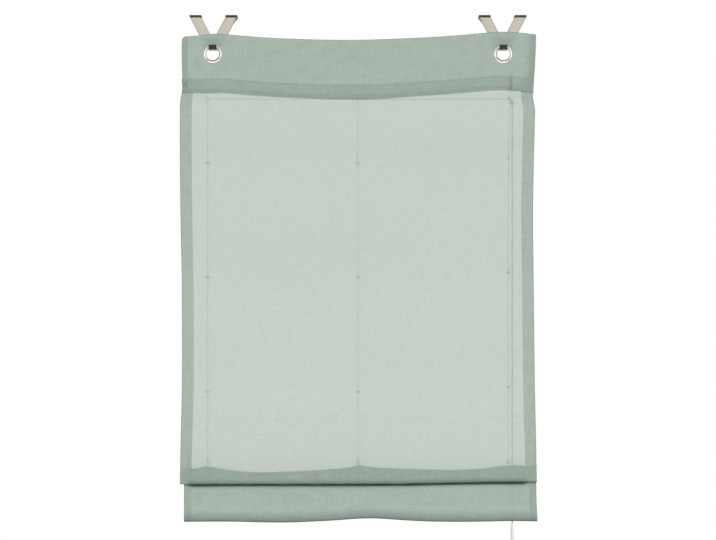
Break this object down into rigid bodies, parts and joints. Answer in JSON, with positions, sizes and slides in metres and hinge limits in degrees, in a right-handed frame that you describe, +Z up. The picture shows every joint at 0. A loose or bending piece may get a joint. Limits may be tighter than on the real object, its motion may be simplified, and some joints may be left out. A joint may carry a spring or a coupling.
{
  "type": "roman blind",
  "caption": "Sheer roman blind hung from two V hooks by its eyelets, with rows of rings and lift cords behind the panel, a front fold, a bottom band and a cord pull.",
  "frame": {"origin": "midway between the two hooks, on the top front edge of the sash that they hang over: the saddles' undersides are at z = 0 and the backs of the hooks' plates at y = 0", "axes": "+Z up along the hanging cloth, +X to the right as seen from the room, -Y towards the room; the decorative face looks along -Y"},
  "size_m": [1.004, 0.0436, 1.4946],
  "materials": {
    "voile": "sheer sage-green polyester voile with a slight slub, matt",
    "hook_steel": "brushed strip steel, warm grey",
    "eyelet_nickel": "polished nickel plate",
    "ring_plastic": "clear moulded plastic, slightly milky",
    "cord_white": "white braided polyester cord",
    "pull_plastic": "pale grey moulded plastic, satin"
  },
  "bodies": {
    "root": {"v_hook_left": "hook_steel", "v_hook_right": "hook_steel", "eyelet_ring_left": "eyelet_nickel", "eyelet_ring_right": "eyelet_nickel", "eyelet_washer_left": "eyelet_nickel", "eyelet_washer_right": "eyelet_nickel", "header_band": "voile", "panel": "voile", "ring_left_1": "ring_plastic", "ring_middle_1": "ring_plastic", "ring_right_1": "ring_plastic", "lift_cord_left": "cord_white", "lift_cord_middle": "cord_white", "lift_cord_right": "cord_white", "top_cord_left": "cord_white", "top_cord_middle": "cord_white", "top_cord_right": "cord_white"},
    "hem": {"bottom_band": "voile", "ring_left_5": "ring_plastic", "ring_middle_5": "ring_plastic", "ring_right_5": "ring_plastic", "hem_knot_left": "cord_white", "hem_knot_middle": "cord_white", "hem_knot_right": "cord_white"},
    "ring_row_2": {"ring_left_2": "ring_plastic", "ring_middle_2": "ring_plastic", "ring_right_2": "ring_plastic"},
    "ring_row_3": {"ring_left_3": "ring_plastic", "ring_middle_3": "ring_plastic", "ring_right_3": "ring_plastic"},
    "ring_row_4": {"ring_left_4": "ring_plastic", "ring_middle_4": "ring_plastic", "ring_right_4": "ring_plastic"},
    "pull": {"stop_knot": "cord_white", "cord_pull": "pull_plastic", "pull_knot": "cord_white", "pull_cord_left": "cord_white", "pull_cord_middle": "cord_white", "pull_cord_right": "cord_white"}
  },
  "joints": [
    {"name": "lift", "type": "slide", "parent": "root", "child": "hem", "axis": [0, 0, 1], "range_m": [0, 0.93], "deforming": ["panel", "lift_cord_left", "lift_cord_middle", "lift_cord_right"]},
    {"name": "ring_row_2_slide", "type": "slide", "parent": "root", "child": "ring_row_2", "axis": [0, 0, 1], "range_m": [0, 0.14]},
    {"name": "ring_row_3_slide", "type": "slide", "parent": "root", "child": "ring_row_3", "axis": [0, 0, 1], "range_m": [0, 0.446]},
    {"name": "ring_row_4_slide", "type": "slide", "parent": "root", "child": "ring_row_4", "axis": [0, 0, 1], "range_m": [0, 0.751]},
    {"name": "pull_down", "type": "slide", "parent": "root", "child": "pull", "axis": [0, 0, -1], "range_m": [0, 0.931]}
  ],
  "couplings": [
    {"joint": "ring_row_2_slide", "follows": "lift", "ratio": 0.1505},
    {"joint": "ring_row_3_slide", "follows": "lift", "ratio": 0.4785},
    {"joint": "ring_row_4_slide", "follows": "lift", "ratio": 0.8065},
    {"joint": "pull_down", "follows": "lift", "ratio": 1}
  ]
}
